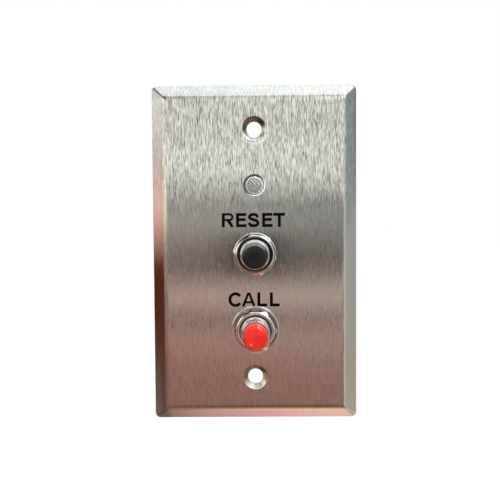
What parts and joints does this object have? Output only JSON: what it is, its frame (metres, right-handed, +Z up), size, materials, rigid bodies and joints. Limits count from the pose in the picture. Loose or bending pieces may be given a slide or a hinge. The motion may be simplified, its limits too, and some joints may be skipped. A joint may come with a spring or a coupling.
{
  "type": "nurse call station",
  "caption": "Wall plate with a lamp, a black reset push switch above and a red call push switch below, and a relay board with screw terminals behind.",
  "frame": {"origin": "middle of the plate's outline, on the plane of the wall that the plate's rear rim touches", "axes": "+Z up the wall, +X to the right seen from the front, +Y into the wall; the buttons face -Y"},
  "size_m": [0.0698, 0.0427, 0.1142],
  "materials": {
    "plate_steel": "stainless sheet with a vertical brushed grain and fine scratches",
    "lens_clear": "clear moulded plastic, glossy, with moulded swirls",
    "chrome_plate": "bright chrome plating",
    "button_black": "glossy moulded plastic",
    "button_red": "glossy moulded plastic",
    "spring_steel": "bare spring steel",
    "plated_steel": "bright zinc plating",
    "led_epoxy": "clear epoxy, slightly milky",
    "tinned_wire": "tinned wire",
    "spacer_nylon": "natural nylon",
    "brass_bar": "bright machined brass",
    "board_laminate": "green solder mask over glass laminate",
    "solder": "bright solder",
    "phenolic": "brown phenolic moulding",
    "contact_brass": "brass, lightly gilded",
    "terminal_green": "satin moulded plastic",
    "relay_case": "satin moulded plastic",
    "resistor_coat": "lacquered",
    "diode_epoxy": "moulded epoxy"
  },
  "bodies": {
    "station": {"face_plate": "plate_steel", "lens": "lens_clear", "lens_retainer": "spring_steel", "led": "led_epoxy", "led_leads": "tinned_wire", "led_spacer": "spacer_nylon", "weld_studs": "plated_steel", "standoffs": "brass_bar", "board_screws": "plated_steel", "circuit_board": "board_laminate", "solder_joints": "solder", "reset_bushing": "chrome_plate", "reset_nut": "chrome_plate", "reset_washer": "chrome_plate", "reset_lock_washer": "spring_steel", "reset_housing": "phenolic", "reset_base": "phenolic", "reset_contacts": "contact_brass", "reset_spring": "spring_steel", "call_bushing": "chrome_plate", "call_nut": "chrome_plate", "call_washer": "chrome_plate", "call_lock_washer": "spring_steel", "call_housing": "phenolic", "call_base": "phenolic", "call_contacts": "contact_brass", "call_spring": "spring_steel", "terminal_block": "terminal_green", "terminal_pins": "contact_brass", "relay": "relay_case", "relay_pins": "tinned_wire", "resistors": "resistor_coat", "diode": "diode_epoxy", "component_leads": "tinned_wire"},
    "reset_plunger": {"reset_button": "button_black", "reset_disc": "contact_brass", "reset_clip": "spring_steel"},
    "call_plunger": {"call_button": "button_red", "call_disc": "contact_brass", "call_clip": "spring_steel"},
    "screw_1": {"terminal_screw_1": "plated_steel"},
    "clamp_1": {"terminal_clamp_1": "plated_steel"},
    "screw_2": {"terminal_screw_2": "plated_steel"},
    "clamp_2": {"terminal_clamp_2": "plated_steel"},
    "screw_3": {"terminal_screw_3": "plated_steel"},
    "clamp_3": {"terminal_clamp_3": "plated_steel"},
    "screw_4": {"terminal_screw_4": "plated_steel"},
    "clamp_4": {"terminal_clamp_4": "plated_steel"}
  },
  "joints": [
    {"name": "reset_press", "type": "slide", "parent": "station", "child": "reset_plunger", "axis": [0, 1, 0], "range_m": [0, 0.0018], "stiffness_N_per_m": 1200, "deforming": ["reset_spring"]},
    {"name": "call_press", "type": "slide", "parent": "station", "child": "call_plunger", "axis": [0, 1, 0], "range_m": [0, 0.0018], "stiffness_N_per_m": 1200, "deforming": ["call_spring"]},
    {"name": "screw_1_turn", "type": "hinge", "parent": "station", "child": "screw_1", "pos_m": [-0.00762, 0.0223, -0.0144], "axis": [0, -1, 0], "range_deg": [0, 1440]},
    {"name": "clamp_1_rise", "type": "slide", "parent": "station", "child": "clamp_1", "axis": [0, 1, 0], "range_m": [0, 0.0018]},
    {"name": "screw_2_turn", "type": "hinge", "parent": "station", "child": "screw_2", "pos_m": [-0.00254, 0.0223, -0.0144], "axis": [0, -1, 0], "range_deg": [0, 1440]},
    {"name": "clamp_2_rise", "type": "slide", "parent": "station", "child": "clamp_2", "axis": [0, 1, 0], "range_m": [0, 0.0018]},
    {"name": "screw_3_turn", "type": "hinge", "parent": "station", "child": "screw_3", "pos_m": [0.00254, 0.0223, -0.0144], "axis": [0, -1, 0], "range_deg": [0, 1440]},
    {"name": "clamp_3_rise", "type": "slide", "parent": "station", "child": "clamp_3", "axis": [0, 1, 0], "range_m": [0, 0.0018]},
    {"name": "screw_4_turn", "type": "hinge", "parent": "station", "child": "screw_4", "pos_m": [0.00762, 0.0223, -0.0144], "axis": [0, -1, 0], "range_deg": [0, 1440]},
    {"name": "clamp_4_rise", "type": "slide", "parent": "station", "child": "clamp_4", "axis": [0, 1, 0], "range_m": [0, 0.0018]}
  ],
  "couplings": [
    {"joint": "screw_1_turn", "follows": "clamp_1_rise", "rad_per_m": 13963},
    {"joint": "screw_2_turn", "follows": "clamp_2_rise", "rad_per_m": 13963},
    {"joint": "screw_3_turn", "follows": "clamp_3_rise", "rad_per_m": 13963},
    {"joint": "screw_4_turn", "follows": "clamp_4_rise", "rad_per_m": 13963}
  ]
}
